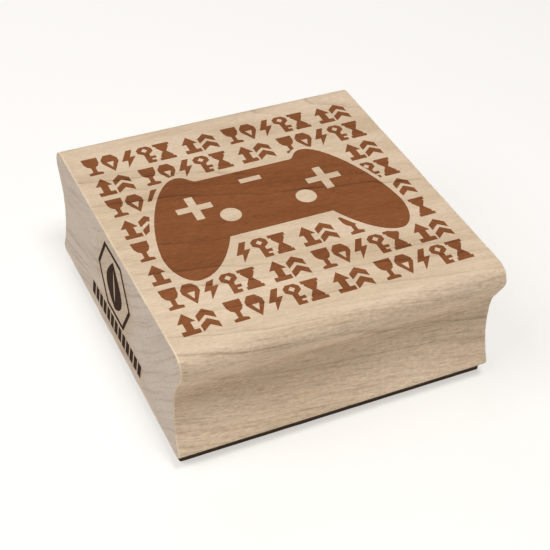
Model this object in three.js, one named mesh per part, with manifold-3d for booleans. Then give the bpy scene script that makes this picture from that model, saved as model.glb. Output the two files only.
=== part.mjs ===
// Wood-mounted rubber stamp: a moulded maple block with a foam cushion and a rubber die under it.
//
// Millimetres, +Z up. X runs along the grain, from one sawn end of the block to the other. Y runs
// across the moulding, from nose to nose. The origin lies under the middle of the stamp, on the
// plane of the printing face, which is the surface that the stamp stands on.
//
// From the bottom up: rubber_die, die_adhesive, foam_cushion, block_adhesive, maple_block.

import * as THREE from 'three';
import { mergeVertices } from 'three/addons/utils/BufferGeometryUtils.js';
import Module from 'manifold-3d';

// ---- Driving dimensions: the maple block ----

const BLOCK_LENGTH = 65; // along the grain
const BLOCK_WIDTH = 68; // nose to nose
const BLOCK_HEIGHT = 25.4;

// The moulded side: heights above the block's bottom face, and depths in from the face of the nose.
const NOSE_RADIUS = 3; // the rounded lip that fingertips hook under
const CREASE = { depth: 3, height: 16.2 }; // where the lip's underside meets the finger cove
const WAIST = { depth: 3.6, height: 12 }; // the deepest line of the cove
const FOOT = { depth: 1.1, height: 1.2 }; // where the cove ends, above the eased bottom arris
const FOOT_RADIUS = 1.2;

const NOSE_SEGMENTS = 9;
const NOSE_UNDER_SEGMENTS = 3;
const COVE_SEGMENTS = 7;
const FOOT_SEGMENTS = 4;

// ---- Driving dimensions: the stack under the block ----

const STACK_LENGTH = 64; // along X, the same trimmed outline for every layer
const STACK_WIDTH = 62; // along Y
const STACK_SHIFT = 0.4; // towards +X: the stack was stuck on by hand, not quite in the middle
const STACK_CORNER_RADIUS = 0.5;
const CORNER_SEGMENTS = 2; // an arc in a shape gets twice this many sides

const RELIEF_HEIGHT = 0.7; // the printing face stands this proud of the die's base sheet
const BASE_THICKNESS = 0.8;
const ROOT_DEPTH = 0.4; // how far the relief reaches into the base sheet, so that they join as one
const ADHESIVE_THICKNESS = 0.1;
const FOAM_THICKNESS = 1.6;

// ---- Driving dimensions: the artwork ----

const ART_LENGTH = 58.2; // along X
const ROW_COUNT = 8;
const ROW_PITCH = 7.13;
const GRID = 0.57; // a symbol is drawn on a grid of squares, six across and ten up
const CELL_COLUMNS = 6;
const CELL_ROWS = 10;
const SYMBOL_GAP = 0.38;
const LEAST_SHARE = 0.2; // a symbol with less than this left clear of the gamepad is left out

// The gamepad's right-hand edge, from its bottom edge to its top edge. Between two of these places
// the edge is a Bezier curve, whose handles leave by out and arrive by in.
const PAD_EDGE = [
  { x: 10.8, y: -5.4, out: [1.7, -3.6] }, // end of the straight bottom edge, a sharp corner
  { x: 20.7, y: -15, in: [-4.2, 0], out: [2.3, 0] }, // end of the grip
  { x: 24.9, y: -6.2, in: [0.4, -5], out: [-0.9, 9.5] }, // widest place
  { x: 13.8, y: 15.4, in: [4.2, 0], out: [-2.3, 0] }, // top of the shoulder
  { x: 10, y: 13, in: [1.4, 0] }, // end of the straight top edge
];
const PAD_SEGMENTS = 12;
const PAD_BORDER = 0.9; // clear space that keeps the symbols off the gamepad
const CUT_MARGIN = 1; // how far a cutter runs past what it cuts

const CROSS = { x: 13.8, y: 5, span: 7.3, arm: 1.7 };
const STICK = { x: 8, y: 0.7, radius: 2.1 };
const SLOT = { y: 9.8, length: 4.6, height: 1.4 };
const STICK_SEGMENTS = 12; // a circle in a shape gets twice this many sides

// ---- Materials ----

const FINISHES = {
  maple: { color: 0xd0b998, roughness: 0.62, metalness: 0 },
  adhesive: { color: 0xd9d2bd, roughness: 0.3, metalness: 0 },
  foam: { color: 0x2e2c2a, roughness: 0.95, metalness: 0 },
  rubber: { color: 0x5a3b2c, roughness: 0.7, metalness: 0 },
};

// ---- Heights of the layers, worked out from the bottom ----

const BASE_BOTTOM = RELIEF_HEIGHT;
const RELIEF_DEPTH = RELIEF_HEIGHT + ROOT_DEPTH;
const DIE_TOP = BASE_BOTTOM + BASE_THICKNESS;
const FOAM_BOTTOM = DIE_TOP + ADHESIVE_THICKNESS;
const FOAM_TOP = FOAM_BOTTOM + FOAM_THICKNESS;
const BLOCK_BOTTOM = FOAM_TOP + ADHESIVE_THICKNESS;

// ---- Shared helpers ----

const wasm = await Module();
wasm.setup();

function toSolid(geometry) {
  const bare = geometry.clone();
  bare.deleteAttribute('normal');
  bare.deleteAttribute('uv');
  const merged = mergeVertices(bare, 1e-5);
  const vertProperties = new Float32Array(merged.attributes.position.array);
  const triVerts = new Uint32Array(merged.index.array);
  return new wasm.Manifold(new wasm.Mesh({ numProp: 3, vertProperties, triVerts }));
}

function toGeometry(solid) {
  const { vertProperties, triVerts } = solid.getMesh();
  const geometry = new THREE.BufferGeometry();
  geometry.setAttribute('position', new THREE.BufferAttribute(vertProperties, 3));
  geometry.setIndex(new THREE.BufferAttribute(triVerts, 1));
  geometry.computeVertexNormals();
  return geometry;
}

function plate(shape, bottom, thickness, curveSegments = 1) {
  const options = { depth: thickness, bevelEnabled: false, curveSegments };
  const geometry = new THREE.ExtrudeGeometry(shape, options);
  geometry.translate(0, 0, bottom);
  return geometry;
}

function outline(points) {
  return points.map(([x, y]) => new THREE.Vector2(x, y));
}

function piece(name, geometry, finish) {
  const mesh = new THREE.Mesh(geometry, new THREE.MeshStandardMaterial(finish));
  mesh.name = name;
  return mesh;
}

// ---- Maple block ----

// Points of an arc that leaves the waist straight up or down and ends at the given edge of the cove.
function coveArc(edge) {
  const rise = edge.height - WAIST.height;
  const run = WAIST.depth - edge.depth;
  const radius = (rise * rise + run * run) / (2 * run);
  const sweep = Math.asin(rise / radius);
  const points = [];
  for (let step = 0; step <= COVE_SEGMENTS; step += 1) {
    const angle = (sweep * step) / COVE_SEGMENTS;
    const out = BLOCK_WIDTH / 2 - WAIST.depth + radius * (1 - Math.cos(angle));
    points.push(new THREE.Vector2(out, WAIST.height + radius * Math.sin(angle)));
  }
  return points;
}

function arcPoints(centreX, centreY, radius, startAngle, endAngle, segments) {
  const clockwise = endAngle < startAngle;
  const curve = new THREE.EllipseCurve(centreX, centreY, radius, radius, startAngle, endAngle, clockwise);
  return curve.getPoints(segments);
}

// One side of the moulding, from the top of the nose down to the bottom face.
function mouldingSide() {
  const noseX = BLOCK_WIDTH / 2 - NOSE_RADIUS;
  const noseY = BLOCK_HEIGHT - NOSE_RADIUS;
  const creaseX = BLOCK_WIDTH / 2 - CREASE.depth;
  const toCrease = Math.atan2(CREASE.height - noseY, creaseX - noseX);
  const distance = Math.hypot(CREASE.height - noseY, creaseX - noseX);
  const tangentAngle = toCrease + Math.acos(NOSE_RADIUS / distance);
  const nose = arcPoints(noseX, noseY, NOSE_RADIUS, Math.PI / 2, 0, NOSE_SEGMENTS);
  const under = arcPoints(noseX, noseY, NOSE_RADIUS, 0, tangentAngle, NOSE_UNDER_SEGMENTS).slice(1);

  const upperCove = coveArc(CREASE).reverse();
  const lowerCove = coveArc(FOOT).slice(1);

  const footX = BLOCK_WIDTH / 2 - FOOT.depth - FOOT_RADIUS;
  const foot = arcPoints(footX, FOOT_RADIUS, FOOT_RADIUS, 0, -Math.PI / 2, FOOT_SEGMENTS).slice(1);
  return [...nose, ...under, ...upperCove, ...lowerCove, ...foot];
}

function mapleBlock() {
  const right = mouldingSide();
  const left = right.map((point) => new THREE.Vector2(-point.x, point.y)).reverse();
  const geometry = plate(new THREE.Shape([...right, ...left]), -BLOCK_LENGTH / 2, BLOCK_LENGTH);
  // The section was drawn across and up, then extruded: turn it so that the extrusion runs along X.
  geometry.rotateX(Math.PI / 2);
  geometry.rotateZ(Math.PI / 2);
  geometry.translate(0, 0, BLOCK_BOTTOM);
  return piece('maple_block', geometry, FINISHES.maple);
}

// ---- Cushion, films and the die's base: one trimmed outline ----

function stackOutline() {
  const left = STACK_SHIFT - STACK_LENGTH / 2;
  const right = STACK_SHIFT + STACK_LENGTH / 2;
  const halfY = STACK_WIDTH / 2;
  const r = STACK_CORNER_RADIUS;
  const shape = new THREE.Shape();
  shape.moveTo(right, -halfY + r);
  shape.absarc(right - r, halfY - r, r, 0, Math.PI / 2);
  shape.absarc(left + r, halfY - r, r, Math.PI / 2, Math.PI);
  shape.absarc(left + r, -halfY + r, r, Math.PI, 1.5 * Math.PI);
  shape.absarc(right - r, -halfY + r, r, 1.5 * Math.PI, 2 * Math.PI);
  return shape;
}

function layer(name, bottom, thickness, finish) {
  return piece(name, plate(stackOutline(), bottom, thickness, CORNER_SEGMENTS), finish);
}

// ---- Symbols of the background rows, drawn on the grid ----

// The outline of an upright symmetrical symbol. Its right half is given as distances out from the
// middle of the cell and heights, from the bottom up, and a pointed end as a single point.
function mirrored(half, { tip = [], toe = [] } = {}) {
  const middle = CELL_COLUMNS / 2;
  const right = half.map(([out, y]) => [middle + out, y]);
  const left = half.map(([out, y]) => [middle - out, y]).reverse();
  return outline([...toe, ...right, ...tip, ...left]);
}

function hourglass() {
  const lower = [[3, 0], [3, 1.4], [2.3, 1.4], [2.3, 2.4], [0.7, 5]];
  const upper = lower.slice(0, -1).map(([x, y]) => [x, CELL_ROWS - y]).reverse();
  return [new THREE.Shape(mirrored([...lower, ...upper]))];
}

function gem() {
  const stone = new THREE.Shape(mirrored([[3, 5.6], [3, 7.6], [1.4, 10]], { toe: [[3, 0]] }));
  stone.holes.push(new THREE.Path(outline([[3, 2.6], [1.7, 5.9], [4.3, 5.9]])));
  return [stone];
}

function bolt() {
  const flash = [[3.4, 10], [0.2, 4.2], [2.4, 4.2], [1.3, 0], [5.8, 6], [3.7, 6], [5.7, 10]];
  return [new THREE.Shape(outline(flash))];
}

function goblet() {
  const half = [[2.5, 0], [2.5, 1.2], [0.8, 1.8], [0.8, 4.4], [2, 5.3], [2.7, 6.9], [2.9, 10]];
  return [new THREE.Shape(mirrored(half))];
}

function key() {
  const blade = [[2, 0], [5.2, 0], [5.2, 1.5], [4, 1.5], [4, 2.4], [5.8, 2.4], [5.8, 3.8], [4, 3.8]];
  const bow = [[4, 5.2], [5.8, 6.6], [5.8, 8.6], [4.4, 10], [1.6, 10], [0.2, 8.6], [0.2, 6.6], [2, 5.2]];
  const shape = new THREE.Shape(outline([...blade, ...bow]));
  shape.holes.push(new THREE.Path(outline([[3, 9], [4.2, 7.7], [3, 6.4], [1.8, 7.7]])));
  return [shape];
}

function upArrow() {
  const half = [[3, 0], [3, 2], [1.3, 2], [1.3, 5.6], [3, 5.6]];
  return [new THREE.Shape(mirrored(half, { tip: [[3, 10]] }))];
}

function chevrons() {
  return [0, 4.6].map((base) => {
    const points = [[0, 0], [3, 2.4], [6, 0], [6, 2.9], [3, 5.4], [0, 2.9]];
    return new THREE.Shape(outline(points.map(([x, y]) => [x, y + base])));
  });
}

const LONG_RUN = [goblet, gem, bolt, key, hourglass];
const SHORT_RUN = [upArrow, chevrons];

function runLength(run) {
  return run.length * CELL_COLUMNS * GRID + (run.length - 1) * SYMBOL_GAP;
}

function symbolSolid(shape, x, y) {
  const geometry = plate(shape, 0, RELIEF_DEPTH);
  geometry.scale(GRID, GRID, 1);
  geometry.translate(x, y, 0);
  return toSolid(geometry);
}

// Rows alternate between starting with a long run and starting with a short one.
function symbolRows() {
  const solids = [];
  const runGap = (ART_LENGTH - 2 * runLength(LONG_RUN) - 2 * runLength(SHORT_RUN)) / 3;
  const cellHeight = CELL_ROWS * GRID;
  const topRowBottom = ((ROW_COUNT - 1) * ROW_PITCH - cellHeight) / 2;
  for (let row = 0; row < ROW_COUNT; row += 1) {
    const pair = row % 2 === 0 ? [LONG_RUN, SHORT_RUN] : [SHORT_RUN, LONG_RUN];
    let x = -ART_LENGTH / 2;
    for (const run of [...pair, ...pair]) {
      for (const symbol of run) {
        for (const shape of symbol()) {
          solids.push(symbolSolid(shape, x, topRowBottom - row * ROW_PITCH));
        }
        x += CELL_COLUMNS * GRID + SYMBOL_GAP;
      }
      x += runGap - SYMBOL_GAP;
    }
  }
  return solids;
}

// ---- Gamepad picture ----

// Anticlockwise: up the right side from the bottom edge to the top edge, and down the left side.
function padOutline() {
  const side = new THREE.Path();
  side.moveTo(PAD_EDGE[0].x, PAD_EDGE[0].y);
  for (let index = 1; index < PAD_EDGE.length; index += 1) {
    const from = PAD_EDGE[index - 1];
    const to = PAD_EDGE[index];
    side.bezierCurveTo(
      from.x + from.out[0], from.y + from.out[1],
      to.x + to.in[0], to.y + to.in[1],
      to.x, to.y,
    );
  }
  const right = side.getPoints(PAD_SEGMENTS);
  const left = right.map((point) => new THREE.Vector2(-point.x, point.y)).reverse();
  return [...right, ...left];
}

// The same outline with every point pushed outwards, for an anticlockwise list of points.
function grown(points, distance) {
  return points.map((point, index) => {
    const before = points[(index + points.length - 1) % points.length];
    const after = points[(index + 1) % points.length];
    const along = after.clone().sub(before).normalize();
    return new THREE.Vector2(point.x + along.y * distance, point.y - along.x * distance);
  });
}

function crossHole(centreX) {
  const reach = CROSS.span / 2;
  const half = CROSS.arm / 2;
  const quarter = [[reach, half], [half, half], [half, reach]];
  const points = [];
  for (let turn = 0; turn < 4; turn += 1) {
    for (const [x, y] of quarter) {
      const turned = new THREE.Vector2(x, y).rotateAround(new THREE.Vector2(), (turn * Math.PI) / 2);
      points.push(turned.add(new THREE.Vector2(centreX, CROSS.y)));
    }
  }
  return new THREE.Path(points);
}

function stickHole(centreX) {
  const hole = new THREE.Path();
  hole.absarc(centreX, STICK.y, STICK.radius, 0, 2 * Math.PI);
  return hole;
}

function slotHole() {
  const halfX = SLOT.length / 2;
  const low = SLOT.y - SLOT.height / 2;
  const high = SLOT.y + SLOT.height / 2;
  return new THREE.Path(outline([[-halfX, low], [halfX, low], [halfX, high], [-halfX, high]]));
}

function padShape() {
  const shape = new THREE.Shape(padOutline());
  shape.holes.push(slotHole());
  for (const side of [-1, 1]) {
    shape.holes.push(crossHole(side * CROSS.x));
    shape.holes.push(stickHole(side * STICK.x));
  }
  return shape;
}

// ---- Rubber die: a base sheet with the artwork standing down from it ----

// Seen from above, the relief lies just as it prints. Seen from below, it is the mirror image.
function rubberDie() {
  const aroundPad = new THREE.Shape(grown(padOutline(), PAD_BORDER));
  const clearing = toSolid(plate(aroundPad, -CUT_MARGIN, RELIEF_DEPTH + 2 * CUT_MARGIN));
  const pad = toSolid(plate(padShape(), 0, RELIEF_DEPTH, STICK_SEGMENTS));
  let die = toSolid(plate(stackOutline(), BASE_BOTTOM, BASE_THICKNESS, CORNER_SEGMENTS));
  for (const symbol of symbolRows()) {
    const clear = symbol.subtract(clearing);
    if (clear.volume() > LEAST_SHARE * symbol.volume()) {
      die = die.add(clear);
    }
  }
  die = die.add(pad);
  return piece('rubber_die', toGeometry(die), FINISHES.rubber);
}

// ---- Assembly ----

const group = new THREE.Group();
group.add(mapleBlock());
group.add(layer('block_adhesive', FOAM_TOP, ADHESIVE_THICKNESS, FINISHES.adhesive));
group.add(layer('foam_cushion', FOAM_BOTTOM, FOAM_THICKNESS, FINISHES.foam));
group.add(layer('die_adhesive', DIE_TOP, ADHESIVE_THICKNESS, FINISHES.adhesive));
group.add(rubberDie());

export default group;
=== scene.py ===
"""The looks of a wood-mounted rubber stamp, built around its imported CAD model.

Metres, in the CAD model's frame: X runs along the grain, Y across the moulding, Z up, and the
stamp stands on the floor at z = 0. The block's section below repeats the CAD source's arcs in
finer steps, and the print on the top is the outline of the die's own printing face.
"""

import math

import bmesh
import bpy
from mathutils import Euler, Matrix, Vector, noise


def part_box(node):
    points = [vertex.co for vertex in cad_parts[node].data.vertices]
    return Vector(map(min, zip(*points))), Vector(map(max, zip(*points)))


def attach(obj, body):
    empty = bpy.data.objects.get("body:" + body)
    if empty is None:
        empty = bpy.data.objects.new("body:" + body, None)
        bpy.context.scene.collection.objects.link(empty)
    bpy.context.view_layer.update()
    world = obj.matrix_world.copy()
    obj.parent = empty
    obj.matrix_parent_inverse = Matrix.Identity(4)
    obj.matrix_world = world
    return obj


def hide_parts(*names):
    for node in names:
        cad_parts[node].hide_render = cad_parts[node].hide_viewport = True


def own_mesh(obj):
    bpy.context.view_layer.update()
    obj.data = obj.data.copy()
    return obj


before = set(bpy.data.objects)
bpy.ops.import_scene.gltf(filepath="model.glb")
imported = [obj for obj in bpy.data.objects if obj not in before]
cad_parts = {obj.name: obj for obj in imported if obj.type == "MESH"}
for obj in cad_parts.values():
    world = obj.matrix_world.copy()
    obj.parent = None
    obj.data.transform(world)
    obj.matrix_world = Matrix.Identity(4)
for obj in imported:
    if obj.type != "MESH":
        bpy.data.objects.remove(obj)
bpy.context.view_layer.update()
BLOCK_LOW, BLOCK_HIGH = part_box("maple_block")
MM = 0.001

# ---- Camera and light ----

CAMERA_PLACE = (-91.2 * MM, -183.2 * MM, 184.4 * MM)
CAMERA_TURN = (49.72, -2.37, -24.84)  # degrees about X, Y and Z
CAMERA_LENS = 87.05  # in millimetres, like the sensor's width
SENSOR_WIDTH = 36
CLIP_START = 0.01  # in metres

FLOOR_REACH = 3.0  # from the stamp to the floor's edges
FLOOR_COLOUR = (0.45, 0.445, 0.435)
FLOOR_GLOW = 0.58  # a lit table top, which keeps the shadows faint
FLOOR_GLOW_COLOUR = (1.0, 0.975, 0.935)
BACKDROP_COLOUR = (0.60, 0.59, 0.575)  # seen past the floor's far edge, and lights nothing
LAMPS = (
    # place in metres, size, watts, colour; all of them face the stamp
    ((0.0, -0.185, 0.571), 0.15, 1.93, (1.0, 0.995, 0.98)),
    ((0.0, 0.5, 0.6), 0.5, 0.86, (1.0, 1.0, 1.0)),
    ((-0.5, 0.0, 0.6), 0.5, 3.17, (0.99, 0.99, 1.0)),
)

# ---- Moulded block ----

NOSE_RADIUS = 3 * MM
CREASE = (3 * MM, 16.2 * MM)  # depth in from the nose's face, height above the block's bottom
WAIST = (3.6 * MM, 12 * MM)
FOOT = (1.1 * MM, 1.2 * MM)
FOOT_RADIUS = 1.2 * MM
NOSE_STEPS = 30
UNDERSIDE_STEPS = 10
UPPER_COVE_STEPS = 12
LOWER_COVE_STEPS = 28
FOOT_STEPS = 10
FLAT_STEPS = 24  # across the flat top, and across the flat bottom
LENGTH_STEPS = 40  # along the grain
END_EASING = 0.24 * MM  # the sawn ends' edges, broken by a touch of sandpaper
EASING_CHANGE = 0.7  # share by which that easing comes and goes along the edge
EASING_SWINGS = (4 * MM, 1.1 * MM)  # lengths over which it changes
EASING_TURNS = (90, 65, 40, 18, 0)  # degrees round the eased edge, 90 on the end, 0 on the moulding
EASING_CLEAR = 3 * END_EASING  # the straight part stops this far from each end

# ---- Cushion and die ----

CORNER_RADIUS = 0.5 * MM
CORNER_STEPS = 6
TRIM_PITCH = 0.7 * MM
CUT_WAVER = 0.12 * MM  # how far the knife wanders
KNIFE_SWING = 5 * MM  # length of one wander
KNIFE_LEAN = 0.3  # how quickly the wander changes up the cut, against along it
CUT_ROUGH = 0.03 * MM
CUT_GRAIN = 0.5 * MM
FOAM_ROWS = 8
FOAM_NIP = 0.10 * MM  # how far the sides pull in at mid height
NIP_FULLNESS = 0.6  # power of the nip's sine: under 1 it is flatter in the middle
FOAM_SMOOTH = 50  # edges up to this many degrees are shaded smooth
BASE_BOTTOM = 0.7 * MM  # height of the rubber sheet's underside, between the relief
BASE_ROWS = 4
DIE_FLARE = 0.10 * MM  # the relief widens by this towards its root
DIE_SMOOTH = 30
SHARPEST_MITRE = 1.6  # longest step at a corner, in steps of the straight sides
MITRE_FLOOR = 0.1  # keeps a mitre finite where an outline turns back on itself

# ---- Print and burnt mark ----

INK_DEPTH = 0.03 * MM  # thickness that stands for ink or char in the wood's surface
PRINT_SHIFT = (-0.4 * MM, -0.35 * MM)  # the print sits a little off the block's middle
FACE_TOLERANCE = 0.01 * MM  # a die face this near the stamping plane prints
MERGE_DIGITS = 7  # corners alike to this many decimals of a metre are one

MARK_HEIGHT = 15.4 * MM  # middle of the emblem above the block's bottom
MARK_RADIUS = 8.9 * MM
MARK_LINE = 1.0 * MM  # between the hexagon's outer and inner corners
LEAF_SIZE = (8.4 * MM, 11.6 * MM)
LEAF_STEPS = 14
LEAF_POWER = 0.8  # under 1 the leaf is widest below its middle
VEIN_SIZE = (0.75 * MM, 9.0 * MM)
VEIN_STEPS = 6
BAND_HEIGHT = 4.9 * MM  # middle of the hatched band above the block's bottom
BAND_SIZE = (27.8 * MM, 3.7 * MM)
BAND_BLOCKS = 13
BLOCK_SHARE = 0.74  # how much of its place in the band a block fills
BLOCK_LEAN = 0.8 * MM  # how far a block's top leans to its right

# ---- Maple ----

NOISE_SPAN = (0.3, 0.7)  # most of a noise's values lie between these
PITH = (50 * MM, 100 * MM)  # y and z of the tree's middle, up and behind the block
RING_SPACING = 4.4 * MM
RING_LEAN = 0.15  # how far the grain runs out of the block, per length
RING_STRAY = 0.9  # how far a ring's place strays, in rings
RING_PROFILE = ((0.55, 0.05), (0.86, 0.22), (0.93, 1.0), (0.955, 0.15))  # place in a ring, darkness
PALEST_RING = 0.35  # darkness of the palest ring, against the darkest
PALEST_STRETCH = 0.30  # and of the palest stretch of a ring, against its darkest
WANDER = (
    # how quickly along X, Y and Z the rings stray, and how far
    ((18, 30, 30), 6 * MM),
    ((70, 420, 420), 0.9 * MM),
    ((500, 1500, 1500), 0.14 * MM),
)
MAPLE = (0.785, 0.618, 0.450)
MAPLE_SHADE = (0.645, 0.482, 0.325)
MAPLE_LATE = (0.30, 0.18, 0.10)
MAPLE_END = (0.605, 0.497, 0.402)
MAPLE_END_LATE = (0.36, 0.255, 0.19)
MAPLE_WORN_AND_HIGHLIT = (0.85, 0.69, 0.50)  # arrises rubbed pale, with a painted highlight along them
GRAIN_DEPTH = 0.04 * MM
WOOD_GLOSS = 0.3
WOOD_ROUGHNESS = (0.55, 0.68)
SAW_ANGLE = 52  # degrees of the saw's scratches across the ends
END_FACING = (0.6, 0.9)  # how squarely a face looks along X: where end grain starts, where it is full
TOP_FACING = (0.7, 0.98)  # how squarely it looks up: where the finer sanding starts, where it is full

BLEMISHES = (
    # place, half size along X, Y and Z in mm, and darkness
    ((-31.6, -34.0, 26.3), (0.7, 1.5, 0.22), 0.85),
    ((9.0, -31.0, 18.6), (11.0, 2.0, 0.42), 0.34),
    ((24.0, -31.0, 17.5), (9.0, 2.0, 0.38), 0.38),
    ((28.0, -33.6, 27.2), (7.0, 1.0, 0.34), 0.32),
    ((20.0, -30.4, 14.6), (4.0, 2.0, 0.20), 0.40),
)
BLEMISH_RAGGED = 0.8 * MM  # how far a blemish's edge strays
COVE_PAINTED_SHADE = (0.95, 0.915, 0.865)  # painted shade in the coves under the nose, darker and warmer
# how far the edges of the painted cove shade and of the painted foot light stray
PAINTED_LIGHT_STRAY = 1.6 * MM
FOOT_PAINTED_LIGHT = 1.07  # painted light of the floor's bounce: the wood towards the bottom is lighter by this factor
FOOT_PAINTED_LIGHT_HEIGHT = 3 * MM

WORN_LIT_EDGE = (0.45 * MM, 0.10 * MM)  # in from a sawn end: where the wear and painted highlight start, where they are full
WORN_LIT_STOP = (0.06 * MM, 0.01 * MM)  # and where they fade again, to leave the sawn face alone
WORN_LIT_FOOT = (0.35 * MM, 1.1 * MM)  # above the bottom: the height of full wear and painted highlight, and of none

PRINT_TINT = (0.345, 0.151, 0.068)
CHAR_TINT = (0.062, 0.026, 0.012)
STAINED_LATE = 0.52  # a dark ring under a stain keeps this share of its colour
STAIN_ROUGHNESS_CHANGE = 0.12
SCORCH_TINT = (0.93, 0.85, 0.70)
SCORCH_STRENGTH = 0.75
SCORCH = (
    # height above the block's bottom, half width and half height of each browned patch
    (MARK_HEIGHT, 10.4 * MM, 9.2 * MM),
    (BAND_HEIGHT, 16.5 * MM, 3.4 * MM),
)

# ---- Rubber, foam and glue ----

RUBBER = (0.046, 0.021, 0.007)
RUBBER_BLOOM = (0.062, 0.032, 0.013)
INKED_RUBBER = (0.024, 0.012, 0.006)
INKED_HEIGHT = (0.04 * MM, 0.16 * MM)  # above the printing face: the old ink is full, then gone
RUBBER_DEPTH = 0.02 * MM
FOAM = (0.036, 0.020, 0.006)
FOAM_PALE = (0.053, 0.030, 0.010)
FOAM_PIT = (0.013, 0.008, 0.003)
FOAM_CELL = 0.22 * MM
FOAM_DEPTH = 0.08 * MM
SOFT_GLOSS = 0.15
GLUE = (0.104, 0.058, 0.018)
GLUE_DUST = (0.050, 0.028, 0.009)
GLUE_GLOSS = 0.5
GLUE_DEPTH = 0.02 * MM


# ---- Mesh helpers ----

def finish_mesh(name, bm, smooth_angle=None):
    """Turns a bmesh into an object, shaded smooth up to smooth_angle degrees."""
    bmesh.ops.recalc_face_normals(bm, faces=bm.faces)
    mesh = bpy.data.meshes.new(name)
    bm.to_mesh(mesh)
    bm.free()
    if smooth_angle is not None:
        mesh.set_sharp_from_angle(angle=math.radians(smooth_angle))
    thing = bpy.data.objects.new(name, mesh)
    bpy.context.scene.collection.objects.link(thing)
    return thing


def arc(centre, radius, start, end, steps):
    """Points on an arc, by angles in radians, without its first point."""
    points = []
    for step in range(1, steps + 1):
        angle = start + (end - start) * step / steps
        points.append((centre[0] + radius * math.cos(angle), centre[1] + radius * math.sin(angle)))
    return points


def line(start, end, steps):
    """Points on a straight line, without its first point."""
    points = []
    for step in range(1, steps + 1):
        share = step / steps
        points.append(tuple(a + (b - a) * share for a, b in zip(start, end)))
    return points


def skin(bm, rows):
    """Smooth faces between rows of vertices, each of which is a closed loop."""
    for one, other in zip(rows, rows[1:]):
        for index in range(len(one)):
            after = (index + 1) % len(one)
            face = bm.faces.new((one[index], one[after], other[after], other[index]))
            face.smooth = True


def one_sided(bm):
    """Edges with a single face."""
    return [edge for edge in bm.edges if len(edge.link_faces) == 1]


def add_walls(bm, rim, partners):
    """Faces from each edge of a rim to the edge between its vertices' partners."""
    for edge in rim:
        one, other = edge.verts
        bm.faces.new((one, other, partners[other], partners[one]))


def thicken(bm, offset):
    """Makes closed plates of the flat faces in bm: the same faces again, moved by offset, and walls."""
    rim = one_sided(bm)
    flat = bm.faces[:]
    moved = {vert: bm.verts.new(vert.co + Vector(offset)) for vert in bm.verts[:]}
    for face in flat:
        bm.faces.new([moved[vert] for vert in face.verts])
    add_walls(bm, rim, moved)


# ---- Maple block ----

def cove(edge, half_width, steps):
    """Arc from the waist to an edge of the cove, with an upright start."""
    rise = edge[1] - WAIST[1]
    run = WAIST[0] - edge[0]
    radius = (rise * rise + run * run) / (2 * run)
    sweep = math.asin(rise / radius)
    middle = (half_width - WAIST[0] + radius, WAIST[1])
    return arc(middle, radius, math.pi, math.pi - sweep, steps)


def moulded_side(half_width, height):
    """(out, up) points of the front's section, from the flat top's edge to the flat bottom's."""
    nose = (half_width - NOSE_RADIUS, height - NOSE_RADIUS)
    crease = (half_width - CREASE[0], CREASE[1])
    waist = (half_width - WAIST[0], WAIST[1])
    away = math.hypot(crease[0] - nose[0], crease[1] - nose[1])
    towards = math.atan2(crease[1] - nose[1], crease[0] - nose[0])
    tangent = towards + math.acos(NOSE_RADIUS / away)
    points = [(nose[0], height)]
    points += arc(nose, NOSE_RADIUS, math.pi / 2, tangent, NOSE_STEPS)
    points += line(points[-1], crease, UNDERSIDE_STEPS)
    points += list(reversed(cove(CREASE, half_width, UPPER_COVE_STEPS)))[1:] + [waist]
    points += cove(FOOT, half_width, LOWER_COVE_STEPS)
    foot = (half_width - FOOT[0] - FOOT_RADIUS, FOOT_RADIUS)
    points += arc(foot, FOOT_RADIUS, 0, -math.pi / 2, FOOT_STEPS)
    return points


def block_section(half_width, height):
    """The whole closed section, as (y, height) points."""
    side = moulded_side(half_width, height)
    front = [(-out, up) for out, up in side]
    back = [(out, up) for out, up in reversed(side)]
    top = line(back[-1], front[0], FLAT_STEPS)[:-1]
    bottom = line(front[-1], back[0], FLAT_STEPS)[:-1]
    return front + bottom + back + top


def inward(points):
    """Unit vectors into a closed outline that is listed with its inside on the left."""
    found = []
    for index, point in enumerate(points):
        before = points[index - 1]
        after = points[(index + 1) % len(points)]
        along = Vector((after[0] - before[0], after[1] - before[1])).normalized()
        found.append(Vector((-along.y, along.x)))
    return found


def uneven_easing(section):
    """Radius of the sawn ends' eased edge at each point of the section."""
    radii = []
    for y, up in section:
        change = sum(noise.noise(Vector((y, up, 0)) / swing) for swing in EASING_SWINGS)
        radii.append(END_EASING * (1 + EASING_CHANGE * change))
    return radii


def wood_block():
    """The maple block: fine moulded section, eased ends."""
    section = block_section(BLOCK_HIGH.y, BLOCK_HIGH.z - BLOCK_LOW.z)
    edges = list(zip(section, inward(section), uneven_easing(section)))
    bm = bmesh.new()

    def eased_row(side, turn):
        """One row of an end's eased edge, at an angle from 0 on the moulding to 90 on the end."""
        row = []
        for (y, up), to_inside, radius in edges:
            inset = to_inside * radius * (1 - math.cos(turn))
            x = side * (BLOCK_HIGH.x - radius * (1 - math.sin(turn)))
            row.append(bm.verts.new((x, y + inset.x, BLOCK_LOW.z + up + inset.y)))
        return row

    turns = [math.radians(angle) for angle in EASING_TURNS]
    rows = [eased_row(-1, turn) for turn in turns]
    reach = BLOCK_HIGH.x - EASING_CLEAR
    for step in range(LENGTH_STEPS + 1):
        x = -reach + 2 * reach * step / LENGTH_STEPS
        rows.append([bm.verts.new((x, y, BLOCK_LOW.z + up)) for y, up in section])
    rows += [eased_row(1, turn) for turn in reversed(turns)]
    skin(bm, rows)
    for end in (rows[0], rows[-1]):
        bm.faces.new(end)
    block = finish_mesh("wood_block", bm)
    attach(block, "block")
    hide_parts("maple_block")
    return block


# ---- Print on the top ----

def printing_faces():
    """Corners of the CAD die's downward faces on the plane it prints with."""
    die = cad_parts["rubber_die"].data
    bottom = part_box("rubber_die")[0].z
    for face in die.polygons:
        corners = [die.vertices[index].co for index in face.vertices]
        if all(abs(corner.z - bottom) < FACE_TOLERANCE for corner in corners):
            yield corners


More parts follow.
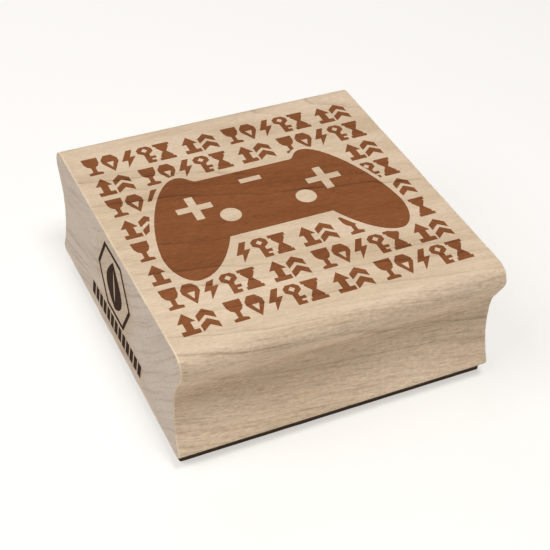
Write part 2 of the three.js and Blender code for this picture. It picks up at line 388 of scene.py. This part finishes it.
def add_picture(bm, shift, z):
    """Adds the die's printing faces, joined at their corners, moved by shift and laid at height z."""
    known = {}
    for corners in printing_faces():
        face = []
        for corner in corners:
            place = (round(corner.x, MERGE_DIGITS), round(corner.y, MERGE_DIGITS))
            if place not in known:
                known[place] = bm.verts.new((place[0] + shift[0], place[1] + shift[1], z))
            face.append(known[place])
        bm.faces.new(face)


def index_print():
    """The picture on the block's top: ink just where the die would leave it on paper."""
    bm = bmesh.new()
    add_picture(bm, PRINT_SHIFT, BLOCK_HIGH.z)
    thicken(bm, (0, 0, INK_DEPTH))
    picture = finish_mesh("index_print", bm)
    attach(picture, "block")
    return picture


# ---- Burnt mark on the left end ----

def leaf_outline(size, steps):
    """A pointed leaf, tip up, as two bulging sides."""
    width, height = size
    right = []
    for step in range(steps):
        share = step / steps
        bulge = math.sin(math.pi * share ** LEAF_POWER)
        right.append((width / 2 * bulge, height * (share - 0.5)))
    left = [(-x, y) for x, y in reversed(right[1:])]
    return right + [(0, height / 2)] + left


def hexagon(radius):
    """Corners of a hexagon with a flat top."""
    angles = [math.radians(60 * k) for k in range(6)]
    return [(radius * math.cos(angle), radius * math.sin(angle)) for angle in angles]


def leaning_blocks():
    """Outlines of the hatched band's blocks, about the band's middle."""
    pitch = BAND_SIZE[0] / BAND_BLOCKS
    half = BAND_SIZE[1] / 2
    for index in range(BAND_BLOCKS):
        left = -BAND_SIZE[0] / 2 + index * pitch
        right = left + pitch * BLOCK_SHARE
        yield [(left, -half), (right, -half), (right + BLOCK_LEAN, half), (left + BLOCK_LEAN, half)]


def burn(bm, loops, height):
    """Fills outlines on the left end, about that height. An outline inside another is a hole."""
    edges = []
    for loop in loops:
        verts = [bm.verts.new((BLOCK_LOW.x, -across, BLOCK_LOW.z + height + up)) for across, up in loop]
        for one, other in zip(verts, verts[1:] + verts[:1]):
            edges.append(bm.edges.new((one, other)))
    bmesh.ops.triangle_fill(bm, use_beauty=True, edges=edges, normal=(-1, 0, 0))


def end_mark():
    """A plain leaf in a hexagon over a hatched band, burnt into the left end."""
    bm = bmesh.new()
    burn(bm, [hexagon(MARK_RADIUS), hexagon(MARK_RADIUS - MARK_LINE)], MARK_HEIGHT)
    burn(bm, [leaf_outline(LEAF_SIZE, LEAF_STEPS), leaf_outline(VEIN_SIZE, VEIN_STEPS)], MARK_HEIGHT)
    for block in leaning_blocks():
        burn(bm, [block], BAND_HEIGHT)
    thicken(bm, (-INK_DEPTH, 0, 0))
    mark = finish_mesh("end_mark", bm)
    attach(mark, "block")
    return mark


# ---- Foam cushion ----

def trimmed_outline(low, high, radius, pitch):
    """Evenly spaced points round a rectangle with rounded corners, and the way out at each."""
    corners = (
        (high.x - radius, high.y - radius, 0),
        (low.x + radius, high.y - radius, 90),
        (low.x + radius, low.y + radius, 180),
        (high.x - radius, low.y + radius, 270),
    )
    points = []
    for index, (x, y, start) in enumerate(corners):
        for step in range(CORNER_STEPS + 1):
            angle = math.radians(start + 90 * step / CORNER_STEPS)
            way = Vector((math.cos(angle), math.sin(angle)))
            points.append((Vector((x, y)) + radius * way, way))
        last, way = points[-1]
        after = corners[(index + 1) % len(corners)]
        first = Vector((after[0], after[1])) + radius * way
        steps = max(2, round((first - last).length / pitch))
        points += [(last.lerp(first, step / steps), way) for step in range(1, steps)]
    return points


def cut_depth(point, z):
    """How far the knife's cut lies inside the trimmed outline at that place."""
    waver = noise.noise(Vector((*point, z * KNIFE_LEAN)) / KNIFE_SWING)
    rough = noise.noise(Vector((*point, z)) / CUT_GRAIN)
    return CUT_WAVER * (waver * 0.5 + 0.5) + CUT_ROUGH * (rough * 0.5 + 0.5)


def cut_side(bm, low, high, rows, nip):
    """Knife-cut side of a trimmed layer from low.z to high.z, nipped in at mid height. Gives its rows."""
    outline = trimmed_outline(low, high, CORNER_RADIUS, TRIM_PITCH)
    made = []
    for level in range(rows + 1):
        share = level / rows
        z = low.z + share * (high.z - low.z)
        pull = nip * math.sin(math.pi * share) ** NIP_FULLNESS
        places = [point - way * (pull + cut_depth(point, z)) for point, way in outline]
        made.append([bm.verts.new((*place, z)) for place in places])
    skin(bm, made)
    return made


def foam_slab():
    """The cushion: its cut sides are nipped in between the two films, which hold its faces flat."""
    low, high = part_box("foam_cushion")
    bm = bmesh.new()
    rows = cut_side(bm, low, high, FOAM_ROWS, FOAM_NIP)
    caps = [bm.faces.new(rows[0]), bm.faces.new(rows[-1])]
    bmesh.ops.triangulate(bm, faces=caps)
    cushion = finish_mesh("cushion", bm, FOAM_SMOOTH)
    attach(cushion, "block")
    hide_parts("foam_cushion")
    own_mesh(cushion)
    return cushion


# ---- Rubber die ----

def way_out(vert):
    """Mitred step sideways off the relief, at a vertex on the rim of a printing face."""
    ways = []
    for edge in vert.link_edges:
        if len(edge.link_faces) != 1:
            continue
        along = (edge.verts[1].co - edge.verts[0].co).normalized()
        away = Vector((along.y, -along.x, 0))
        inside = edge.link_faces[0].calc_center_median() - edge.verts[0].co
        ways.append(-away if away.dot(inside) > 0 else away)
    mitre = sum(ways, Vector()) / max(MITRE_FLOOR, 1 + ways[0].dot(ways[-1]))
    if mitre.length > SHARPEST_MITRE:
        mitre *= SHARPEST_MITRE / mitre.length
    return mitre


def add_relief_sides(bm):
    """Sloping sides from the rims of the printing faces up to the base sheet's underside."""
    rim = one_sided(bm)
    roots = {}
    for vert in sorted({vert for edge in rim for vert in edge.verts}, key=lambda vert: tuple(vert.co)):
        step = way_out(vert) * DIE_FLARE
        roots[vert] = bm.verts.new((vert.co.x + step.x, vert.co.y + step.y, BASE_BOTTOM))
    add_walls(bm, rim, roots)


def rubber_sheet():
    """The die: the CAD printing face, its relief's sloping sides, and a knife-cut base sheet."""
    low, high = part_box("rubber_die")
    bm = bmesh.new()
    add_picture(bm, (0, 0), low.z)
    add_relief_sides(bm)
    base = cut_side(bm, Vector((low.x, low.y, BASE_BOTTOM)), high, BASE_ROWS, 0)
    top = bm.faces.new(base[-1])
    bmesh.ops.triangulate(bm, faces=[top])
    bm.edges.index_update()
    bmesh.ops.triangle_fill(bm, use_beauty=True, edges=one_sided(bm), normal=(0, 0, -1))
    die = finish_mesh("die", bm, DIE_SMOOTH)
    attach(die, "die")
    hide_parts("rubber_die")
    return die


# ---- Node helpers ----

def add(tree, kind, inputs=None, **settings):
    """A shader node with its settings, and with its inputs linked or set."""
    node = tree.nodes.new(kind)
    for key, value in settings.items():
        setattr(node, key, value)
    for key, value in (inputs or {}).items():
        if isinstance(value, bpy.types.NodeSocket):
            tree.links.new(value, node.inputs[key])
        else:
            node.inputs[key].default_value = value
    return node


def calc(tree, operation, a, b=0.0):
    """Output of a Math node."""
    return add(tree, "ShaderNodeMath", {0: a, 1: b}, operation=operation).outputs[0]


def vector_calc(tree, operation, a, b):
    """Output of a Vector Math node that works on two vectors."""
    return add(tree, "ShaderNodeVectorMath", {0: a, 1: b}, operation=operation).outputs[0]


def scaled(tree, colour, factor):
    """A colour or a vector times a number."""
    inputs = {0: colour, "Scale": factor}
    return add(tree, "ShaderNodeVectorMath", inputs, operation="SCALE").outputs[0]


def length(tree, vector):
    """Length of a vector."""
    return add(tree, "ShaderNodeVectorMath", {0: vector}, operation="LENGTH").outputs["Value"]


def axes(tree, vector):
    """X, Y and Z of a vector."""
    return add(tree, "ShaderNodeSeparateXYZ", {0: vector}).outputs


def object_place(tree):
    """The place on the object, in metres."""
    return add(tree, "ShaderNodeTexCoord").outputs["Object"]


def spread(tree, value, low, high, new_low=0.0, new_high=1.0):
    """value from low to high becomes new_low to new_high, and goes no further."""
    inputs = {"Value": value, "From Min": low, "From Max": high, "To Min": new_low, "To Max": new_high}
    return add(tree, "ShaderNodeMapRange", inputs).outputs[0]


def grain(tree, place, scale, detail=2.0, roughness=0.5):
    """Noise from 0 to 1 with features 1 / scale metres long along each axis."""
    vector = vector_calc(tree, "MULTIPLY", place, scale)
    inputs = {"Vector": vector, "Scale": 1.0, "Detail": detail, "Roughness": roughness}
    return add(tree, "ShaderNodeTexNoise", inputs).outputs["Fac"]


def vary(tree, value, low, high):
    """low to high, as a noise goes through its usual span."""
    return spread(tree, value, *NOISE_SPAN, low, high)


def mix(tree, factor, one, other):
    """Mix of two numbers."""
    return add(tree, "ShaderNodeMix", {0: factor, 2: one, 3: other}).outputs[0]


def blend(tree, factor, one, other, mode="MIX"):
    """Mix of two colours."""
    node = add(tree, "ShaderNodeMix", data_type="RGBA", blend_type=mode)
    for socket, value in ((node.inputs[0], factor), (node.inputs[6], one), (node.inputs[7], other)):
        if isinstance(value, bpy.types.NodeSocket):
            tree.links.new(value, socket)
        elif isinstance(value, tuple):
            socket.default_value = (*value, 1.0)
        else:
            socket.default_value = value
    return node.outputs[2]


def from_middle(tree, place, middle, reach):
    """Distance from middle, where 1 is the surface of an ellipsoid with those half sizes."""
    offset = vector_calc(tree, "SUBTRACT", place, middle)
    return length(tree, vector_calc(tree, "MULTIPLY", offset, tuple(1 / size for size in reach)))


def new_material(name):
    """An empty material, its node tree and its shader."""
    material = bpy.data.materials.new(name)
    material.use_nodes = True
    tree = material.node_tree
    tree.nodes.clear()
    shader = tree.nodes.new("ShaderNodeBsdfPrincipled")
    output = tree.nodes.new("ShaderNodeOutputMaterial")
    tree.links.new(shader.outputs[0], output.inputs[0])
    return material, tree, shader


def finish(tree, shader, colour, roughness, gloss, relief, depth):
    """Gives the shader its colour, roughness and gloss, and a relief of that depth in metres."""
    tree.links.new(colour, shader.inputs["Base Color"])
    tree.links.new(roughness, shader.inputs["Roughness"])
    shader.inputs["Specular IOR Level"].default_value = gloss
    bump = add(tree, "ShaderNodeBump", {"Height": relief, "Strength": 1.0, "Distance": depth})
    tree.links.new(bump.outputs[0], shader.inputs["Normal"])


def paint(thing, material):
    """Gives an object one material."""
    thing.data.materials.clear()
    thing.data.materials.append(material)


# ---- Maple's figure ----

def ring_frame(tree, place):
    """Place along the grain, out from the tree's middle and round it, straying as a tree grows."""
    x, y, z = axes(tree, place)
    across = calc(tree, "SUBTRACT", y, PITH[0])
    up = calc(tree, "SUBTRACT", z, PITH[1])
    flat = add(tree, "ShaderNodeCombineXYZ", {1: across, 2: up}).outputs[0]
    radius = calc(tree, "SUBTRACT", length(tree, flat), calc(tree, "MULTIPLY", x, RING_LEAN))
    for scale, reach in WANDER:
        stray = calc(tree, "SUBTRACT", grain(tree, place, scale, detail=1), 0.5)
        radius = calc(tree, "ADD", radius, calc(tree, "MULTIPLY", stray, reach))
    turn = calc(tree, "ARCTAN2", across, up)
    around = calc(tree, "MULTIPLY", turn, math.hypot(*PITH))
    return add(tree, "ShaderNodeCombineXYZ", {0: x, 1: radius, 2: around}).outputs[0]


def rings(tree, flow):
    """Darkness of the growth rings: 1 in the thin late wood, fading out and in along the grain."""
    turns = calc(tree, "DIVIDE", axes(tree, flow)[1], RING_SPACING)
    inputs = {"W": turns, "Scale": 0.8, "Detail": 0}
    uneven = add(tree, "ShaderNodeTexNoise", inputs, noise_dimensions="1D").outputs["Fac"]
    turns = calc(tree, "ADD", turns, spread(tree, uneven, 0, 1, -RING_STRAY, RING_STRAY))
    profile = add(tree, "ShaderNodeValToRGB", {0: calc(tree, "FRACT", turns)})
    stops = profile.color_ramp.elements
    stops[0].color = (0, 0, 0, 1)
    stops[1].color = (0, 0, 0, 1)
    for position, grey in RING_PROFILE:
        stops.new(position).color = (grey, grey, grey, 1)
    number = {"W": calc(tree, "FLOOR", turns)}
    lot = add(tree, "ShaderNodeTexWhiteNoise", number, noise_dimensions="1D").outputs["Value"]
    fade = spread(tree, grain(tree, flow, (40, 60, 60), detail=1), 0.34, 0.58, PALEST_STRETCH, 1.0)
    strength = calc(tree, "MULTIPLY", spread(tree, lot, 0, 1, PALEST_RING, 1.0), fade)
    return calc(tree, "MULTIPLY", profile.outputs[0], strength)


def blemishes(tree, place):
    """Darkness of the few marks that are this block's own, with ragged edges."""
    vector = vector_calc(tree, "MULTIPLY", place, (900, 2500, 2500))
    stray = add(tree, "ShaderNodeTexNoise", {"Vector": vector, "Scale": 1.0}).outputs["Color"]
    stray = vector_calc(tree, "SUBTRACT", stray, (0.5, 0.5, 0.5))
    ragged = vector_calc(tree, "ADD", place, scaled(tree, stray, BLEMISH_RAGGED))
    darkness = 0.0
    for middle, reach, most in BLEMISHES:
        middle = tuple(value * MM for value in middle)
        reach = tuple(value * MM for value in reach)
        mark = spread(tree, from_middle(tree, ragged, middle, reach), 0.3, 1.0, most, 0)
        darkness = calc(tree, "MAXIMUM", mark, darkness)
    return darkness


def painted_cove_shade_and_foot_light(tree, place, colour):
    """The wood's colour, with painted shade in the coves under the nose and painted floor light towards
    the bottom.
    """
    _, y, z = axes(tree, place)
    patchy = vary(tree, grain(tree, place, (60, 150, 150)), -PAINTED_LIGHT_STRAY, PAINTED_LIGHT_STRAY)
    up = calc(tree, "ADD", calc(tree, "SUBTRACT", z, BLOCK_LOW.z), patchy)
    waist_face = BLOCK_HIGH.y - WAIST[0]
    on_side = spread(tree, calc(tree, "ABSOLUTE", y), waist_face - 0.9 * MM, waist_face - 0.2 * MM)
    below_crease = spread(tree, up, CREASE[1] - 0.6 * MM, CREASE[1] + 0.9 * MM, 1, 0)
    above_foot = spread(tree, up, WAIST[1] - 4.5 * MM, WAIST[1] + 1.5 * MM)
    cove_shade = calc(tree, "MULTIPLY", on_side, calc(tree, "MULTIPLY", below_crease, above_foot))
    # painted shade: the coves under the nose are darkened and warmed
    colour = blend(tree, cove_shade, colour, COVE_PAINTED_SHADE, mode="MULTIPLY")
    # painted light: the wood grows lighter towards the bottom, where the floor's bounce falls
    return scaled(tree, colour, spread(tree, up, FOOT_PAINTED_LIGHT_HEIGHT, WAIST[1], FOOT_PAINTED_LIGHT, 1.0))


def side_grain(tree, place, flow, late, calm):
    """Colour and relief of the wood along the grain. calm, from 0 to 1, is how finely it was sanded."""
    cloud = grain(tree, flow, (28, 110, 70))
    band = grain(tree, flow, (14, 420, 160))
    streak = grain(tree, flow, (16, 1700, 500))
    fibre = grain(tree, flow, (110, 1900, 1500), roughness=0.6)
    dash = grain(tree, flow, (420, 3400, 3000), detail=1)
    speck = grain(tree, place, (1300, 2600, 2600), detail=1)

    broad = spread(tree, cloud, 0.35, 0.68, 0, 0.6)
    broad = calc(tree, "ADD", broad, spread(tree, band, 0.38, 0.68, 0, 0.55))
    colour = blend(tree, broad, MAPLE, MAPLE_SHADE)
    fine = spread(tree, streak, 0.53, 0.72, 0, 0.26)
    fine = calc(tree, "ADD", fine, spread(tree, dash, 0.54, 0.70, 0, 0.30))
    fine = calc(tree, "MULTIPLY", fine, spread(tree, calm, 0, 1, 1.0, 0.35))
    dark = calc(tree, "ADD", calc(tree, "MULTIPLY", late, 0.62), fine)
    dark = calc(tree, "MAXIMUM", dark, blemishes(tree, place))
    colour = blend(tree, dark, colour, MAPLE_LATE)
    tone = calc(tree, "MULTIPLY", vary(tree, fibre, 0.925, 1.06), vary(tree, speck, 0.895, 1.085))
    tone = mix(tree, spread(tree, calm, 0, 1, 0, 0.45), tone, 1.0)
    # painted shade in the coves, and painted light towards the bottom
    colour = painted_cove_shade_and_foot_light(tree, place, scaled(tree, colour, tone))

    relief = calc(tree, "MULTIPLY", calc(tree, "SUBTRACT", fibre, dash), 0.5)
    relief = calc(tree, "SUBTRACT", relief, calc(tree, "MULTIPLY", late, 0.3))
    return colour, calc(tree, "MULTIPLY", relief, spread(tree, calm, 0, 1, 1.0, 0.5))


def end_grain(tree, place, flow, late):
    """Colour and relief of the sawn ends: rings cut square across, pores and saw scratches."""
    growth = grain(tree, flow, (100, 1500, 55))
    season = grain(tree, flow, (60, 420, 40), detail=1)
    pores = grain(tree, place, (300, 2600, 2600))
    turn = {"Vector": place, "Angle": math.radians(SAW_ANGLE)}
    sawn = add(tree, "ShaderNodeVectorRotate", turn, rotation_type="X_AXIS").outputs[0]
    scratches = grain(tree, sawn, (300, 5200, 130), detail=1)
    dark = calc(tree, "MULTIPLY", late, 0.75)
    dark = calc(tree, "ADD", dark, spread(tree, growth, 0.54, 0.66, 0, 0.36))
    dark = calc(tree, "ADD", dark, spread(tree, season, 0.42, 0.64, 0, 0.15))
    colour = blend(tree, dark, MAPLE_END, MAPLE_END_LATE)
    tone = calc(tree, "MULTIPLY", vary(tree, pores, 0.875, 1.08), vary(tree, scratches, 0.95, 1.04))
    relief = calc(tree, "ADD", calc(tree, "MULTIPLY", pores, 0.7), calc(tree, "MULTIPLY", scratches, 0.6))
    return scaled(tree, colour, tone), relief


def worn_and_highlit_arrises(tree, place):
    """How far the sawn ends' edges and the bottom's long edges are rubbed pale, with a painted highlight.
    """
    x, _, z = axes(tree, place)
    to_end = calc(tree, "SUBTRACT", BLOCK_HIGH.x, calc(tree, "ABSOLUTE", x))
    edge = spread(tree, to_end, WORN_LIT_EDGE[1], WORN_LIT_EDGE[0], 1, 0)
    edge = calc(tree, "MULTIPLY", edge, spread(tree, to_end, WORN_LIT_STOP[1], WORN_LIT_STOP[0]))
    foot = spread(tree, z, BLOCK_LOW.z + WORN_LIT_FOOT[0], BLOCK_LOW.z + WORN_LIT_FOOT[1], 1, 0)
    patchy = spread(tree, grain(tree, place, (220, 220, 220)), 0.38, 0.62, 0.15, 0.8)
    return calc(tree, "MULTIPLY", calc(tree, "MAXIMUM", edge, foot), patchy)


def maple(tree):
    """Colour, relief and roughness of the maple, and its dark rings, from the place in the block."""
    coordinates = add(tree, "ShaderNodeTexCoord")
    place = coordinates.outputs["Object"]
    flow = ring_frame(tree, place)
    late = rings(tree, flow)
    facing_x, _, facing_z = axes(tree, coordinates.outputs["Normal"])
    on_end = spread(tree, calc(tree, "ABSOLUTE", facing_x), *END_FACING)
    on_top = spread(tree, facing_z, *TOP_FACING)
    colour, relief = side_grain(tree, place, flow, late, on_top)
    end_colour, end_relief = end_grain(tree, place, flow, late)
    colour = blend(tree, on_end, colour, end_colour)
    # pale arrises: rubbing wear, and a painted highlight along the eased edges
    colour = blend(tree, worn_and_highlit_arrises(tree, place), colour, MAPLE_WORN_AND_HIGHLIT)
    relief = mix(tree, on_end, relief, end_relief)
    hair = grain(tree, place, (700, 6500, 6500), detail=1)
    return colour, relief, vary(tree, hair, *WOOD_ROUGHNESS), late


# ---- Wood materials ----

def scorched(tree, colour):
    """The wood's colour, browned in a soft halo about the burnt mark."""
    place = object_place(tree)
    smoke = vary(tree, grain(tree, place, (300, 350, 350)), -0.15, 0.15)
    halo = 0.0
    for height, half_width, half_height in SCORCH:
        middle = (BLOCK_LOW.x, 0, BLOCK_LOW.z + height)
        distance = from_middle(tree, place, middle, (MM, half_width, half_height))
        distance = calc(tree, "ADD", distance, smoke)
        halo = calc(tree, "MAXIMUM", spread(tree, distance, 0.82, 1.15, SCORCH_STRENGTH, 0), halo)
    return blend(tree, halo, colour, SCORCH_TINT, mode="MULTIPLY")


def bare_maple():
    """The block's own wood."""
    material, tree, shader = new_material("bare_maple")
    colour, relief, roughness, _ = maple(tree)
    finish(tree, shader, scorched(tree, colour), roughness, WOOD_GLOSS, relief, GRAIN_DEPTH)
    return material


def stained_maple(name, tint, roughness, gloss, mottle_depth):
    """Maple under ink or char: the grain shows through."""
    material, tree, shader = new_material(name)
    colour, relief, _, late = maple(tree)
    stain = blend(tree, 1.0, colour, tint, mode="MULTIPLY")
    stain = scaled(tree, stain, spread(tree, late, 0, 1, 1.0, STAINED_LATE))
    mottle = grain(tree, object_place(tree), (700, 2000, 2000), detail=3, roughness=0.6)
    stain = scaled(tree, stain, vary(tree, mottle, 1 - mottle_depth, 1 + mottle_depth))
    rough = vary(tree, mottle, roughness, roughness + STAIN_ROUGHNESS_CHANGE)
    finish(tree, shader, stain, rough, gloss, relief, GRAIN_DEPTH)
    return material


# ---- Rubber, foam and glue materials ----

def rubber():
    """Moulded rubber: matt, with a faint pale bloom and the film of old ink that never washes off."""
    material, tree, shader = new_material("die_rubber")
    place = object_place(tree)
    bloom = grain(tree, place, (260, 260, 900), detail=3)
    colour = blend(tree, spread(tree, bloom, 0.35, 0.68), RUBBER, RUBBER_BLOOM)
    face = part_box("rubber_die")[0].z
    up = axes(tree, place)[2]
    inked = spread(tree, up, face + INKED_HEIGHT[0], face + INKED_HEIGHT[1], 0.75, 0)
    patchy = spread(tree, grain(tree, place, (420, 420, 420)), 0.3, 0.6, 0.5, 1)
    colour = blend(tree, calc(tree, "MULTIPLY", inked, patchy), colour, INKED_RUBBER)
    fine = grain(tree, place, (5200, 5200, 5200))
    coarse = grain(tree, place, (900, 900, 900))
    relief = calc(tree, "ADD", fine, calc(tree, "MULTIPLY", coarse, 0.8))
    finish(tree, shader, colour, vary(tree, bloom, 0.60, 0.78), SOFT_GLOSS, relief, RUBBER_DEPTH)
    return material


def foam():
    """Closed-cell foam, cut open at the edges."""
    material, tree, shader = new_material("cushion_foam")
    place = object_place(tree)
    inputs = {"Vector": place, "Scale": 1 / FOAM_CELL}
    cells = add(tree, "ShaderNodeTexVoronoi", inputs).outputs["Distance"]
    tone = grain(tree, place, (500, 500, 900), detail=3)
    colour = blend(tree, spread(tree, tone, 0.35, 0.65), FOAM, FOAM_PALE)
    colour = blend(tree, spread(tree, cells, 0.15, 0.5, 0.6, 0), colour, FOAM_PIT)
    roughness = spread(tree, cells, 0.1, 0.6, 0.98, 0.82)
    finish(tree, shader, colour, roughness, SOFT_GLOSS, cells, FOAM_DEPTH)
    return material


def adhesive_film():
    """Amber film of glue, darkened by the dust its edge has picked up."""
    material, tree, shader = new_material("adhesive_film")
    dust = grain(tree, object_place(tree), (700, 700, 2500), detail=3)
    colour = blend(tree, spread(tree, dust, 0.38, 0.62), GLUE, GLUE_DUST)
    roughness = spread(tree, dust, 0.35, 0.65, 0.3, 0.7)
    finish(tree, shader, colour, roughness, GLUE_GLOSS, dust, GLUE_DEPTH)
    return material


# ---- Stage ----

def floor():
    """Pale floor that glows a little."""
    bm = bmesh.new()
    bmesh.ops.create_grid(bm, x_segments=1, y_segments=1, size=FLOOR_REACH)
    thing = finish_mesh("floor", bm)
    material, _, shader = new_material("pale_floor")
    shader.inputs["Base Color"].default_value = (*FLOOR_COLOUR, 1)
    shader.inputs["Roughness"].default_value = 0.9
    shader.inputs["Specular IOR Level"].default_value = 0.0
    shader.inputs["Emission Color"].default_value = (*FLOOR_GLOW_COLOUR, 1)
    shader.inputs["Emission Strength"].default_value = FLOOR_GLOW
    paint(thing, material)


def backdrop():
    """A pale world, which only the camera sees."""
    world = bpy.data.worlds.new("studio")
    world.use_nodes = True
    tree = world.node_tree
    background = tree.nodes["Background"]
    background.inputs["Color"].default_value = (*BACKDROP_COLOUR, 1)
    seen = add(tree, "ShaderNodeLightPath").outputs["Is Camera Ray"]
    tree.links.new(seen, background.inputs["Strength"])
    bpy.context.scene.world = world


def lamps():
    """Soft square lamps, all turned to the stamp."""
    for index, (place, size, watts, colour) in enumerate(LAMPS):
        lamp = bpy.data.lights.new(f"lamp_{index}", "AREA")
        lamp.shape = "SQUARE"
        lamp.size = size
        lamp.energy = watts
        lamp.color = colour
        light = bpy.data.objects.new(lamp.name, lamp)
        light.location = place
        light.rotation_euler = (-Vector(place)).to_track_quat("-Z", "Y").to_euler()
        bpy.context.scene.collection.objects.link(light)


def camera():
    """The camera that looks down on the stamp's front and left end."""
    lens = bpy.data.cameras.new("camera")
    lens.lens = CAMERA_LENS
    lens.sensor_width = SENSOR_WIDTH
    lens.clip_start = CLIP_START
    eye = bpy.data.objects.new("camera", lens)
    eye.location = CAMERA_PLACE
    eye.rotation_euler = Euler([math.radians(angle) for angle in CAMERA_TURN])
    bpy.context.scene.collection.objects.link(eye)
    bpy.context.scene.camera = eye


# ---- Everything together ----

camera()
floor()
backdrop()
lamps()
bpy.context.scene.view_settings.view_transform = "Standard"

paint(wood_block(), bare_maple())
paint(index_print(), stained_maple("print_ink", PRINT_TINT, roughness=0.62, gloss=0.2, mottle_depth=0.13))
paint(end_mark(), stained_maple("char", CHAR_TINT, roughness=0.8, gloss=0.1, mottle_depth=0.2))
paint(foam_slab(), foam())
paint(rubber_sheet(), rubber())
film = adhesive_film()
paint(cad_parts["block_adhesive"], film)
paint(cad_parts["die_adhesive"], film)
